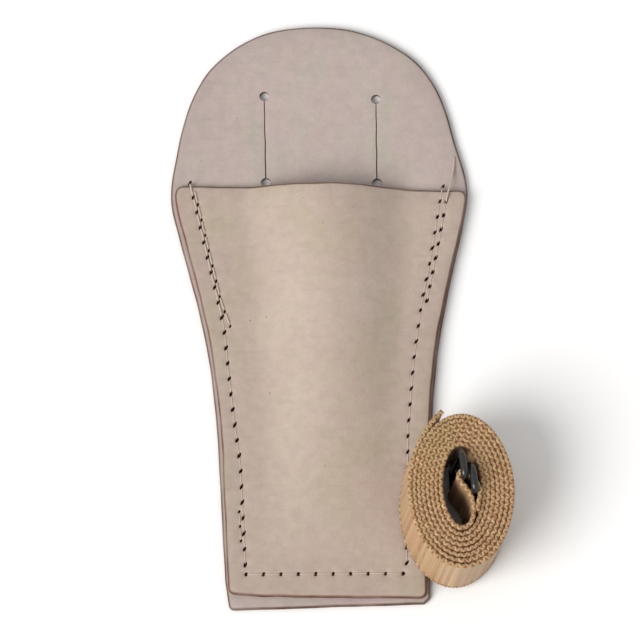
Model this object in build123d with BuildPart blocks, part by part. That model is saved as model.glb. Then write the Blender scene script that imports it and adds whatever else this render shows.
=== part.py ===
"""Leather garden-knife sheath lying flat, with its web belt rolled up beside it.

Millimetres. X runs across the sheath, +Y towards the round flap, +Z up from the back face,
which rests on the table at Z = 0. The origin is on the sheath's centre line, half way along.
"""
from build123d import *
import math
import os

# ---- driving dimensions of the sheath -------------------------------------------------------
LENGTH = 269.6            # foot to top of flap
HALF_LENGTH = LENGTH / 2
LEATHER = 2.5             # thickness of each leather panel
FRONT_FACE = 2 * LEATHER  # height of the front panel's face where it lies flat

# half width of the back panel at heights above the foot edge
FOOT_HALF, BEND_START_HALF, BEND_END_HALF, HIP_START_HALF = 45.6, 48.0, 57.1, 65.0
BEND_START, BEND_END, HIP_START = 75.0, 145.0, 177.5

# round flap above the hips: points (x, height above the foot) from the left hip to the right
FLAP = [(-67.1, 190), (-64.8, 210), (-59.9, 230), (-49.5, 250), (-38.5, 260), (-27.1, 266),
        (-3.0, LENGTH), (21.4, 266), (33.9, 260), (46.3, 250), (57.1, 230), (62.4, 210),
        (66.6, 190)]

# front panel: how far its edge lies inside the back panel's edge, at the foot and the mouth
POCKET_INSET_LEFT, POCKET_INSET_RIGHT = (1.4, 2.2), (1.6, 0.4)
POCKET_FOOT = [(-46.0, 7.4), (-29.0, 5.0), (46.0, 2.1)]    # its foot edge, cut in two strokes
MOUTH_LEFT, MOUTH_RIGHT = 196.8, 190.2
CORNER_RADIUS = 4.0
FOOT_LEFT_RADIUS, FOOT_RIGHT_CHAMFER = 3.0, 2.6
PANEL_BLANK = 80.0        # half width of the moulded blank that the front panel is cut from

# moulded swelling of the front panel, a bell across X that grows from its foot to the mouth
BELL_CENTRE = 3.5
BELL_FOOT, MOUTH_HEIGHT = 22.0, 193.5
BELL_HALF_WIDTH_AT_FOOT, BELL_HALF_WIDTH_AT_MOUTH = 31.5, 41.0
BELL_RISE = 11.0
BELL_SHOULDER = 0.6       # rise half way out from the middle, as a share of the full rise
BELL_SECTIONS = 9
FLAT_RISE = 0.002         # keeps every section's curve a curve where the panel is flat

# belt slits, each a cut between two round stop holes
STOP_HOLE = 4.0
SLIT_WIDTH = 0.6
SLITS = [((-24.2, 197.6), (-24.2, 238.0)), ((25.9, 195.6), (26.3, 234.9))]

# seams: awl holes at an even pitch along these lines (x, height above the foot)
STITCH_PITCH = 7.2
FOOT_STITCH_PITCH = 7.6
AWL_HOLE = 1.3
THREAD_WIDTH, THREAD_HEIGHT = 0.8, 0.6
LEFT_SEAM = [(-58.5, 198.3), (-44.4, 132.0), (-41.2, 94.0), (-37.9, 66.0), (-36.6, 20.0)]
RIGHT_SEAM = [(55.6, 192.8), (49.4, 158.6), (44.8, 137.6), (40.8, 111.6), (37.7, 80.6),
              (36.6, 50.0), (35.8, 18.5)]
FOOT_SEAM = [(-36.3, 15.5), (34.0, 13.6)]
LEFT_BACKTACK = [(-56.5, 194.9), (-45.3, 142.0), (-41.4, 130.5)]
LEFT_FOOT_BACKTACK = [(-38.9, 44.5), (-38.3, 31.0)]
RIGHT_BACKTACK = [(57.1, 185.6), (51.9, 160.0), (47.4, 139.6)]
THREAD_TAIL = [(57.1, 185.6, 5.9), (58.9, 192.6, 6.9), (60.3, 200.4, 5.0)]
BOBBIN_FLOOR = 0.1        # the back threads lie sunk in the leather, this far above the table

# ---- driving dimensions of the belt ---------------------------------------------------------
WEB_WIDTH, WEB_THICKNESS = 38.0, 1.6
ROLL_FIRST_ANGLE = 108.0          # where the outer end of the strap lies, seen from above
ROLL_TURNS = 7.45
ROLL_A = (23.74, 8.6)             # half width of the oval, outer end and inner end
ROLL_B = (35.9, 18.95)            # half length of the oval, outer end and inner end
ROLL_CENTRE_X = (0.75, 0.1)
ROLL_CENTRE_Y = (0.64, 1.84)
FACETS_PER_TURN = 30              # flats that stand for the curve, at most 0.2 mm off it
TIP_LIFT, TIP_LIFT_TURN = 2.2, 0.09
INNER_RUN = [(3.0, -15.9), (4.9, -12.8), (5.5, -9.0), (5.2, -5.2)]
DOUBLED_END = [(8.1, -3.4), (7.45, -6.6), (7.25, -9.8)]

WIRE = 3.4                        # ring wire diameter
RING_INNER_WIDTH = 38.8
RING_DEPTH = 12.0                 # bar centre to outer side centre
RING_FOOT_RADIUS, RING_NOSE_RADIUS = 1.9, 6.0
RING_BARS = {"d_ring_inner": (1.6, 6.5), "d_ring_outer": (6.1, 0.2)}
RING_DIRECTION = 96.0             # degrees from +X, seen from above
RING_LIFT = 1.5                   # rings and fold stand this much above the roll's middle
BAR_CLEARANCE = 0.05

ROLL_X, ROLL_HEIGHT_ON_SHEATH = 56.3, 41.7   # middle of the roll's lower face
ROLL_LEAN = 8.6                   # degrees, its left side lies on the sheath's edge
ROLL_REACH = 23.8                 # from its middle to the corner that touches the table
TABLE_GAP = 0.1

LOOP_STITCH_ROWS = (-6.2, -8.8)
LOOP_STITCH_PITCH, LOOP_STITCH_COUNT = 4.2, 8
LOOP_STITCH_FACES = (4.75, 7.95)
LOOP_THREAD = 0.5

os.makedirs("parts", exist_ok=True)


def at(x, height):
    """Place a point given by its height above the foot edge in the model's frame."""
    return (x, height - HALF_LENGTH)


def panel_outline(inset_left=(0.0, 0.0), inset_right=(0.0, 0.0)):
    """Draw the back panel's outline, moved inwards by insets given at the foot and the mouth."""
    stations = [(FOOT_HALF, 0.0), (BEND_START_HALF, BEND_START), (BEND_END_HALF, BEND_END),
                (HIP_START_HALF, HIP_START)]
    hips = []
    for side, (inset_foot, inset_mouth) in ((-1, inset_left), (1, inset_right)):
        growth = (inset_mouth - inset_foot) / MOUTH_HEIGHT
        foot, bend_start, bend_end, hip = [
            at(side * (half - inset_foot - growth * height), height) for half, height in stations]
        lower = Line(foot, bend_start)
        bend = TangentArc(lower @ 1, bend_end, tangent=lower % 1)
        upper = Line(bend @ 1, hip)
        hips.append(upper @ 1)
    crown = [at(x + (inset_left[1] if x < 0 else -inset_right[1]), height) for x, height in FLAP]
    Spline(hips[0], *crown, hips[1])
    Line(at(inset_left[0] - FOOT_HALF, 0), at(FOOT_HALF - inset_right[0], 0))


def even_points(corners, pitch):
    """Points at an even spacing close to pitch along a run of straight lines."""
    legs = [math.dist(a, b) for a, b in zip(corners, corners[1:])]
    total = sum(legs)
    count = max(1, round(total / pitch))
    points = []
    for i in range(count + 1):
        left = total * i / count
        for (a, b), leg in zip(zip(corners, corners[1:]), legs):
            if left <= leg + 1e-9:
                share = left / leg
                points.append(at(a[0] + (b[0] - a[0]) * share, a[1] + (b[1] - a[1]) * share))
                break
            left -= leg
    return points


def cut_end(first, second, x):
    """Where the straight cut through two points (x, height) reaches this x."""
    slope = (second[1] - first[1]) / (second[0] - first[0])
    return at(x, first[1] + slope * (x - first[0]))


LEFT_ROWS = [even_points(LEFT_SEAM, STITCH_PITCH), even_points(LEFT_BACKTACK, STITCH_PITCH),
             even_points(LEFT_FOOT_BACKTACK, STITCH_PITCH)]
RIGHT_ROWS = [even_points(RIGHT_SEAM, STITCH_PITCH), even_points(RIGHT_BACKTACK, STITCH_PITCH)]
FOOT_ROWS = [even_points(FOOT_SEAM, FOOT_STITCH_PITCH)]
ALL_ROWS = LEFT_ROWS + RIGHT_ROWS + FOOT_ROWS
ALL_HOLES = [point for row in ALL_ROWS for point in row]


def stitch_slots(rows, width):
    """Draw every stitch of the rows as a slot from hole to hole."""
    for row in rows:
        for a, b in zip(row, row[1:]):
            middle = ((a[0] + b[0]) / 2, (a[1] + b[1]) / 2)
            turn = math.degrees(math.atan2(b[1] - a[1], b[0] - a[0]))
            with Locations(middle):
                SlotCenterToCenter(math.dist(a, b), width, rotation=turn)


# ---- back panel -----------------------------------------------------------------------------
with BuildPart() as back_panel:
    with BuildSketch():
        with BuildLine():
            panel_outline()
        make_face()
    extrude(amount=LEATHER)
    upright_edges = back_panel.edges().filter_by(Axis.Z).group_by(Axis.Y)
    foot_left, foot_right = upright_edges[0].sort_by(Axis.X)
    fillet(foot_left, radius=FOOT_LEFT_RADIUS)
    upright_edges = back_panel.edges().filter_by(Axis.Z).group_by(Axis.Y)
    chamfer(upright_edges[0].sort_by(Axis.X)[-1], length=FOOT_RIGHT_CHAMFER)
    with BuildSketch():
        for low, high in SLITS:
            with Locations(at(*low), at(*high)):
                Circle(STOP_HOLE / 2)
            with Locations(at((low[0] + high[0]) / 2, (low[1] + high[1]) / 2)):
                lean = math.degrees(math.atan2(high[1] - low[1], high[0] - low[0]))
                Rectangle(math.dist(low, high), SLIT_WIDTH, rotation=lean)
        with Locations(*ALL_HOLES):
            Circle(AWL_HOLE / 2)
    extrude(amount=LEATHER, mode=Mode.SUBTRACT)
    with BuildSketch():
        stitch_slots(ALL_ROWS, THREAD_WIDTH + 0.2)
    extrude(amount=THREAD_HEIGHT + 0.15, mode=Mode.SUBTRACT)
back_panel.part.label = "back_panel"
export_step(back_panel.part, "parts/back_panel.step")


# ---- front panel ----------------------------------------------------------------------------
def bell_profile(share, base):
    """One face of the moulded leather across the panel, at a share of the way to the mouth."""
    rise = FLAT_RISE + BELL_RISE * math.sin(math.pi / 2 * share)
    growth = (BELL_HALF_WIDTH_AT_MOUTH - BELL_HALF_WIDTH_AT_FOOT) * share ** 2
    reach = BELL_HALF_WIDTH_AT_FOOT + growth
    left, right = (BELL_CENTRE - reach, base), (BELL_CENTRE + reach, base)
    Line((-PANEL_BLANK, base), left)
    Spline(left, (BELL_CENTRE - reach / 2, base + rise * BELL_SHOULDER),
           (BELL_CENTRE, base + rise), (BELL_CENTRE + reach / 2, base + rise * BELL_SHOULDER),
           right, tangents=[(1, 0), (1, 0)])
    Line(right, (PANEL_BLANK, base))


bell_shares = [i / (BELL_SECTIONS - 1) for i in range(BELL_SECTIONS)]
bell_length = MOUTH_LEFT + 3.0 - BELL_FOOT
sections = [(-2.0, 0.0)] + [(BELL_FOOT + bell_length * share, share) for share in bell_shares]
with BuildPart() as front_panel:
    for height, share in sections:
        with BuildSketch(Plane.XZ.offset(HALF_LENGTH - height)):
            with BuildLine():
                bell_profile(share, LEATHER)
                Line((PANEL_BLANK, LEATHER), (PANEL_BLANK, FRONT_FACE))
                bell_profile(share, FRONT_FACE)
                Line((-PANEL_BLANK, LEATHER), (-PANEL_BLANK, FRONT_FACE))
            make_face()
    loft(ruled=True)
    with BuildSketch() as pocket_outline:
        with BuildLine():
            panel_outline(POCKET_INSET_LEFT, POCKET_INSET_RIGHT)
        make_face()
        with BuildLine():
            foot_left, foot_bend, foot_right = POCKET_FOOT
            mouth_left, mouth_right = (-HIP_START_HALF, MOUTH_LEFT), (HIP_START_HALF, MOUTH_RIGHT)
            Polyline(cut_end(foot_left, foot_bend, -PANEL_BLANK), at(*foot_bend),
                     cut_end(foot_bend, foot_right, PANEL_BLANK),
                     cut_end(mouth_left, mouth_right, PANEL_BLANK),
                     cut_end(mouth_left, mouth_right, -PANEL_BLANK), close=True)
        make_face(mode=Mode.INTERSECT)
        corners = pocket_outline.vertices()
        foot_corners = corners.filter_by_position(Axis.Y, -HALF_LENGTH, BELL_FOOT - HALF_LENGTH)
        foot_corners = foot_corners.sort_by(Axis.X)
        mouth_corners = corners.sort_by(Axis.Y)[-2:]
        fillet([foot_corners[0], foot_corners[-1], *mouth_corners], radius=CORNER_RADIUS)
    extrude(amount=BELL_RISE + 2 * FRONT_FACE, mode=Mode.INTERSECT)
    with BuildSketch():
        with Locations(*ALL_HOLES):
            Circle(AWL_HOLE / 2)
    extrude(amount=2 * FRONT_FACE, mode=Mode.SUBTRACT)
front_panel.part.label = "front_panel"
export_step(front_panel.part, "parts/front_panel.step")


# ---- seams: each has a needle thread in front and a bobbin thread behind ----------------------
def leg_circles(rows):
    """Draw the thread's section in every awl hole of the rows."""
    with Locations(*[point for row in rows for point in row]):
        Circle(THREAD_WIDTH / 2)


for side, rows in (("left", LEFT_ROWS), ("right", RIGHT_ROWS), ("bottom", FOOT_ROWS)):
    with BuildPart() as needle_thread:
        with BuildSketch(Plane.XY.offset(LEATHER)):
            leg_circles(rows)
        extrude(amount=LEATHER + 2 * FLAT_RISE)
        with BuildSketch(Plane.XY.offset(FRONT_FACE + 2 * FLAT_RISE)):
            stitch_slots(rows, THREAD_WIDTH)
        extrude(amount=THREAD_HEIGHT)
    needle_thread.part.label = f"needle_thread_{side}"
    export_step(needle_thread.part, f"parts/needle_thread_{side}.step")

    with BuildPart() as bobbin_thread:
        with BuildSketch(Plane.XY.offset(BOBBIN_FLOOR)):
            stitch_slots(rows, THREAD_WIDTH)
        extrude(amount=THREAD_HEIGHT)
        with BuildSketch(Plane.XY.offset(BOBBIN_FLOOR + THREAD_HEIGHT)):
            leg_circles(rows)
        extrude(amount=LEATHER - BOBBIN_FLOOR - THREAD_HEIGHT)
    bobbin_thread.part.label = f"bobbin_thread_{side}"
    export_step(bobbin_thread.part, f"parts/bobbin_thread_{side}.step")

with BuildPart() as thread_tail:
    with BuildLine() as tail_path:
        start, middle, end = [(*at(x, height), z) for x, height, z in THREAD_TAIL]
        ThreePointArc(start, middle, end)
    with BuildSketch(Plane(origin=tail_path.line @ 0, z_dir=tail_path.line % 0)):
        Circle(THREAD_HEIGHT / 2)
    sweep()
thread_tail.part.label = "thread_tail"
export_step(thread_tail.part, "parts/thread_tail.step")


# ---- belt: an oval roll that leans on the sheath's edge ---------------------------------------
LEAN = math.radians(ROLL_LEAN)
ACROSS = (math.cos(LEAN), 0, -math.sin(LEAN))      # the roll's own X in the model's frame
UPWARD = (math.sin(LEAN), 0, math.cos(LEAN))       # the roll's axis
ROLL_ORIGIN = (*at(ROLL_X, ROLL_HEIGHT_ON_SHEATH), TABLE_GAP + ROLL_REACH * math.sin(LEAN))
roll_plane = Plane(origin=ROLL_ORIGIN, x_dir=ACROSS, z_dir=UPWARD)
fold_plane = roll_plane.offset(RING_LIFT)


def blend_pair(pair, share):
    """Value between the outer end's and the inner end's figure."""
    return pair[0] + (pair[1] - pair[0]) * share


def spiral_point(turn):
    """Centre line of the rolled strap after this many turns, counted from its outer end."""
    share = turn / ROLL_TURNS
    angle = math.radians(ROLL_FIRST_ANGLE + 360 * turn)
    x = blend_pair(ROLL_CENTRE_X, share) + blend_pair(ROLL_A, share) * math.cos(angle)
    y = blend_pair(ROLL_CENTRE_Y, share) + blend_pair(ROLL_B, share) * math.sin(angle)
    lift = TIP_LIFT * max(0.0, 1 - turn / TIP_LIFT_TURN) ** 2
    return (x + lift * math.cos(angle), y + lift * math.sin(angle))


def fold_points():
    """Centre line of the strap's inner end, round both ring bars and back on itself."""
    inner_bar, outer_bar = RING_BARS["d_ring_inner"], RING_BARS["d_ring_outer"]
    radius = WIRE / 2 + BAR_CLEARANCE + WEB_THICKNESS / 2
    lean = math.degrees(math.atan2(inner_bar[1] - outer_bar[1], inner_bar[0] - outer_bar[0]))

    def round_bar(bar, turn):
        angle = math.radians(lean + turn)
        return (bar[0] + radius * math.cos(angle), bar[1] + radius * math.sin(angle))

    points = [spiral_point(ROLL_TURNS), *INNER_RUN, round_bar(outer_bar, 90)]
    points += [round_bar(inner_bar, turn) for turn in range(90, -91, -30)]
    points += [round_bar(outer_bar, turn) for turn in (-90, -112, -135)]
    return points + DOUBLED_END


def ribbon_sides(points):
    """Both faces of a strap of the webbing's thickness, as points beside its centre line."""
    edges = []
    for side in (1, -1):
        edge = []
        for i, (x, y) in enumerate(points):
            before, after = points[max(i - 1, 0)], points[min(i + 1, len(points) - 1)]
            dx, dy = after[0] - before[0], after[1] - before[1]
            reach = side * WEB_THICKNESS / 2 / math.hypot(dx, dy)
            edge.append((x - dy * reach, y + dx * reach))
        edges.append(edge)
    return edges


with BuildPart() as belt_loop_stitching:
    for row in LOOP_STITCH_ROWS:
        row_origin = fold_plane.from_local_coords(Vector(0, row, WEB_WIDTH / 2))
        row_plane = Plane(origin=row_origin, x_dir=ACROSS, z_dir=(0, -1, 0))
        with BuildSketch(row_plane):
            left, right = LOOP_STITCH_FACES
            middle = (left + right) / 2
            with Locations((left, 0), (right, 0)):
                Rectangle(LOOP_THREAD, LOOP_STITCH_PITCH * (LOOP_STITCH_COUNT - 1) + LOOP_THREAD)
            with Locations((middle, 0)):
                with GridLocations(0, LOOP_STITCH_PITCH, 1, LOOP_STITCH_COUNT):
                    Rectangle(right - left, LOOP_THREAD)
        extrude(amount=LOOP_THREAD / 2, both=True)
belt_loop_stitching.part.label = "belt_loop_stitching"
export_step(belt_loop_stitching.part, "parts/belt_loop_stitching.step")

spiral_steps = round(ROLL_TURNS * FACETS_PER_TURN)
spiral = [spiral_point(ROLL_TURNS * i / spiral_steps) for i in range(spiral_steps + 1)]
with BuildPart() as belt_webbing:
    with BuildSketch(roll_plane):
        with BuildLine():
            left, right = ribbon_sides(spiral)
            Polyline(*left, *reversed(right), close=True)
        make_face()
    extrude(amount=WEB_WIDTH)
    with BuildSketch(fold_plane):
        with BuildLine():
            left, right = ribbon_sides(fold_points())
            Spline(*left)
            Spline(*right)
            Line(left[0], right[0])
            Line(left[-1], right[-1])
        make_face()
    extrude(amount=WEB_WIDTH)
    add(belt_loop_stitching.part, mode=Mode.SUBTRACT)
belt_webbing.part.label = "belt_webbing"
export_step(belt_webbing.part, "parts/belt_webbing.step")


# ---- rings: flat D shapes whose straight bars lie in the fold ---------------------------------
toward_nose = math.radians(RING_DIRECTION)
ring_side = RING_INNER_WIDTH / 2 + WIRE / 2
for name, (bar_x, bar_y) in RING_BARS.items():
    bar_middle = fold_plane.from_local_coords(Vector(bar_x, bar_y, WEB_WIDTH / 2))
    nose = fold_plane.from_local_coords(
        Vector(bar_x + math.cos(toward_nose), bar_y + math.sin(toward_nose), WEB_WIDTH / 2))
    along = (nose - bar_middle).normalized()
    ring_plane = Plane(origin=bar_middle, x_dir=along, z_dir=along.cross(Vector(*UPWARD)))
    with BuildPart() as d_ring:
        with BuildLine(ring_plane) as ring_path:
            FilletPolyline((0, -ring_side), (RING_DEPTH, -ring_side), (RING_DEPTH, ring_side),
                           (0, ring_side), close=True,
                           radius=[RING_FOOT_RADIUS, RING_NOSE_RADIUS, RING_NOSE_RADIUS,
                                   RING_FOOT_RADIUS])
        with BuildSketch(Plane(origin=ring_path.line @ 0, z_dir=ring_path.line % 0)):
            Circle(WIRE / 2)
        sweep()
    d_ring.part.label = name
    export_step(d_ring.part, f"parts/{name}.step")
    print(name, "bar centre", [round(value, 3) for value in bar_middle])

strap = spiral + fold_points()[1:]
print("strap length", round(sum(math.dist(a, b) for a, b in zip(strap, strap[1:]))))
print("roll axis", [round(value, 5) for value in UPWARD])
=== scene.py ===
"""Looks of the leather garden-knife sheath and of the web belt rolled up beside it.

Points are in millimetres and become metres when a mesh is made. X runs across the sheath, Y along
it towards the round flap, Z up from the table. Heights are counted from the sheath's foot edge.
"""
import math

import bpy
import numpy as np
from mathutils import Matrix, Vector
from mathutils.geometry import delaunay_2d_cdt


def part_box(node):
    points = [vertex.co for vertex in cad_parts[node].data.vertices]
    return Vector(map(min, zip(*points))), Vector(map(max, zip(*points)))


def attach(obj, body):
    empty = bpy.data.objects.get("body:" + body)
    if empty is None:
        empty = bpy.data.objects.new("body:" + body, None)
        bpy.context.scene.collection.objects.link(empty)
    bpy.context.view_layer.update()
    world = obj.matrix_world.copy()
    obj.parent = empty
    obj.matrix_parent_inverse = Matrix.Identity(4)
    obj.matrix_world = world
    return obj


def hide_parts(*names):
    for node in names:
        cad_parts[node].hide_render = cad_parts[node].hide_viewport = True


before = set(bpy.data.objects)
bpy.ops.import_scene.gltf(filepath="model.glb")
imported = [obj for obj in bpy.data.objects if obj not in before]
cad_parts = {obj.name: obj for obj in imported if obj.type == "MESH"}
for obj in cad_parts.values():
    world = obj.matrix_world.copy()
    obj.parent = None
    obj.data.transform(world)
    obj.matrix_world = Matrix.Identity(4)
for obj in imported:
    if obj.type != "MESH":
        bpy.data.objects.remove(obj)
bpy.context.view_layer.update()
scene = bpy.context.scene
MM = 0.001
rng = np.random.default_rng(11)

# ---- sizes shared with the CAD ----
LEATHER = 2.5
panel_low, panel_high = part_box("back_panel")
LENGTH = (panel_high.y - panel_low.y) / MM
HALF_LENGTH = LENGTH / 2
FOOT_HALF, BEND_START_HALF, BEND_END_HALF, HIP_START_HALF = 45.6, 48.0, 57.1, 65.0
BEND_START, BEND_END, HIP_START = 75.0, 145.0, 177.5
SIDE_TOP, SIDE_STEP = 162, 2.0    # the hips are drawn as a curve from here up
# the round top, as (x, height)
FLAP = [(-67.1, 190), (-64.8, 210), (-59.9, 230), (-49.5, 250), (-38.5, 260), (-27.1, 266),
        (-3.0, LENGTH), (21.4, 266), (33.9, 260), (46.3, 250), (57.1, 230), (62.4, 210),
        (66.6, 190)]
POCKET_INSET_LEFT, POCKET_INSET_RIGHT = (1.4, 2.2), (1.6, 0.4)
POCKET_FOOT = [(-46.0, 7.4), (-29.0, 5.0), (46.0, 2.1)]
MOUTH_LEFT, MOUTH_RIGHT = 196.8, 190.2
MOUTH_HEIGHT = 193.5
BELL_CENTRE = 3.5
BELL_FOOT = 22.0
BELL_HALF_WIDTH_AT_FOOT, BELL_HALF_WIDTH_AT_MOUTH = 31.5, 41.0
BELL_RISE = 11.0
STOP_HOLE = 4.2
SLITS = [((-24.2, 197.6), (-24.2, 238.0)), ((25.9, 195.6), (26.3, 234.9))]
SLIT_GAPS, SLIT_JAG = (0.20, 0.12), 0.10    # half widths of the cut, and its unevenness
SLIT_STEPS, STOP_HOLE_STEPS = 36, 22
STITCH_PITCH, FOOT_STITCH_PITCH = 7.2, 7.6
LEFT_SEAM = [(-58.5, 198.3), (-44.4, 132.0), (-41.2, 94.0), (-37.9, 66.0), (-36.6, 20.0)]
RIGHT_SEAM = [(55.6, 192.8), (49.4, 158.6), (44.8, 137.6), (40.8, 111.6), (37.7, 80.6),
              (36.6, 50.0), (35.8, 18.5)]
FOOT_SEAM = [(-36.3, 15.5), (34.0, 13.6)]
LEFT_BACKTACK = [(-56.5, 194.9), (-45.3, 142.0), (-41.4, 130.5)]
LEFT_FOOT_BACKTACK = [(-38.9, 44.5), (-38.3, 31.0)]
RIGHT_BACKTACK = [(57.1, 185.6), (51.9, 160.0), (47.4, 139.6)]

WEB_WIDTH = 38.0
ROLL_FIRST_ANGLE = 108.0
ROLL_TURNS = 7.45
ROLL_A, ROLL_B = (23.74, 8.6), (35.9, 18.95)
ROLL_CENTRE_X, ROLL_CENTRE_Y = (0.75, 0.1), (0.64, 1.84)
TIP_LIFT, TIP_LIFT_TURN = 2.2, 0.09
INNER_RUN = [(3.0, -15.9), (4.9, -12.8), (5.5, -9.0), (5.2, -5.2)]
DOUBLED_END = [(8.1, -3.4), (7.45, -6.6), (7.25, -9.8)]
FOLD_RADIUS = 2.55                # wire radius, its clearance and half the webbing
RING_BARS = [(1.6, 6.5), (6.1, 0.2)]
RING_LIFT = 1.5
ROLL_LEAN = math.radians(8.6)
ROLL_ORIGIN = np.array([56.3, 41.7 - HALF_LENGTH, 0.1 + 23.8 * math.sin(ROLL_LEAN)])
ACROSS = np.array([math.cos(ROLL_LEAN), 0, -math.sin(ROLL_LEAN)])
ALONG = np.array([0.0, 1.0, 0.0])
UPWARD = np.array([math.sin(ROLL_LEAN), 0, math.cos(ROLL_LEAN)])
LOOP_STITCH_ROWS = (-6.2, -8.8)
LOOP_STITCH_FACES = (4.75, 7.95)
LOOP_STITCH_PITCH, LOOP_STITCH_HOLES = 4.2, 8
LOOP_STITCH_BOW, LOOP_STITCH_RADIUS = 0.28, 0.26

# ---- camera: a long lens above the foot of the sheath, looking at its middle ----
VIEW_WIDTH = 0.288
VIEW_DISTANCE = 6.0
VIEW_AZIMUTH = math.radians(10)
VIEW_ELEVATION = math.radians(75)
VIEW_ROLL = math.radians(11.5)
VIEW_TARGET = Vector((-0.00117, -0.0015, 0.0))
SENSOR = 36.0


def place_camera():
    camera = bpy.data.objects.new("camera", bpy.data.cameras.new("camera"))
    scene.collection.objects.link(camera)
    scene.camera = camera
    camera.data.sensor_width = SENSOR
    camera.data.lens = SENSOR * VIEW_DISTANCE / VIEW_WIDTH
    camera.data.clip_end = 20
    right = Vector((math.cos(VIEW_AZIMUTH), math.sin(VIEW_AZIMUTH), 0))
    ahead = Vector((-math.sin(VIEW_AZIMUTH), math.cos(VIEW_AZIMUTH), 0))
    skyward = Vector((0, 0, 1))
    back = skyward * math.sin(VIEW_ELEVATION) - ahead * math.cos(VIEW_ELEVATION)
    up = skyward * math.cos(VIEW_ELEVATION) + ahead * math.sin(VIEW_ELEVATION)
    cos, sin = math.cos(VIEW_ROLL), math.sin(VIEW_ROLL)
    turned_right, turned_up = cos * right - sin * up, sin * right + cos * up
    turn = Matrix((turned_right, turned_up, back)).transposed()
    camera.matrix_world = Matrix.Translation(VIEW_TARGET + back * VIEW_DISTANCE) @ turn.to_4x4()


# ---- light and floor ----
KEY_TURN, KEY_ELEVATION = math.radians(236), math.radians(41)   # it comes from the lower left
KEY_STRENGTH, KEY_SOFTNESS = 2.8, math.radians(44)
KEY_COLOUR = (1.0, 0.985, 0.96)
SKY_STRENGTH = 0.58
FLOOR_HALF, FLOOR_DROP = 3.0, 0.0004    # the drop keeps the back's threads off the floor
FLOOR_COLOUR = (0.93, 0.93, 0.93, 1)


def light_scene():
    scene.view_settings.view_transform = "Standard"
    key = bpy.data.objects.new("key_light", bpy.data.lights.new("key_light", "SUN"))
    key.data.energy = KEY_STRENGTH
    key.data.angle = KEY_SOFTNESS
    key.data.color = KEY_COLOUR
    toward = Vector((math.sin(KEY_TURN) * math.cos(KEY_ELEVATION),
                     math.cos(KEY_TURN) * math.cos(KEY_ELEVATION), math.sin(KEY_ELEVATION)))
    key.rotation_mode = "QUATERNION"
    key.rotation_quaternion = toward.to_track_quat("Z", "Y")
    scene.collection.objects.link(key)
    world = bpy.data.worlds.new("studio")
    world.use_nodes = True
    sky = world.node_tree.nodes["Background"]
    sky.inputs["Color"].default_value = (1.0, 1.0, 1.0, 1)
    sky.inputs["Strength"].default_value = SKY_STRENGTH
    scene.world = world


def lay_floor():
    corners = [(x * FLOOR_HALF, y * FLOOR_HALF, -FLOOR_DROP)
               for x, y in ((-1, -1), (1, -1), (1, 1), (-1, 1))]
    mesh = bpy.data.meshes.new("floor")
    mesh.from_pydata(corners, [], [(0, 1, 2, 3)])
    floor = bpy.data.objects.new("floor", mesh)
    scene.collection.objects.link(floor)
    material, shader = new_material("floor_paper")
    shader.inputs["Base Color"].default_value = FLOOR_COLOUR
    shader.inputs["Roughness"].default_value = 0.9
    shader.inputs["Specular IOR Level"].default_value = 0.1
    mesh.materials.append(material)


# ---- materials ----
def new_material(name):
    material = bpy.data.materials.new(name)
    material.use_nodes = True
    return material, material.node_tree.nodes["Principled BSDF"]


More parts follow.
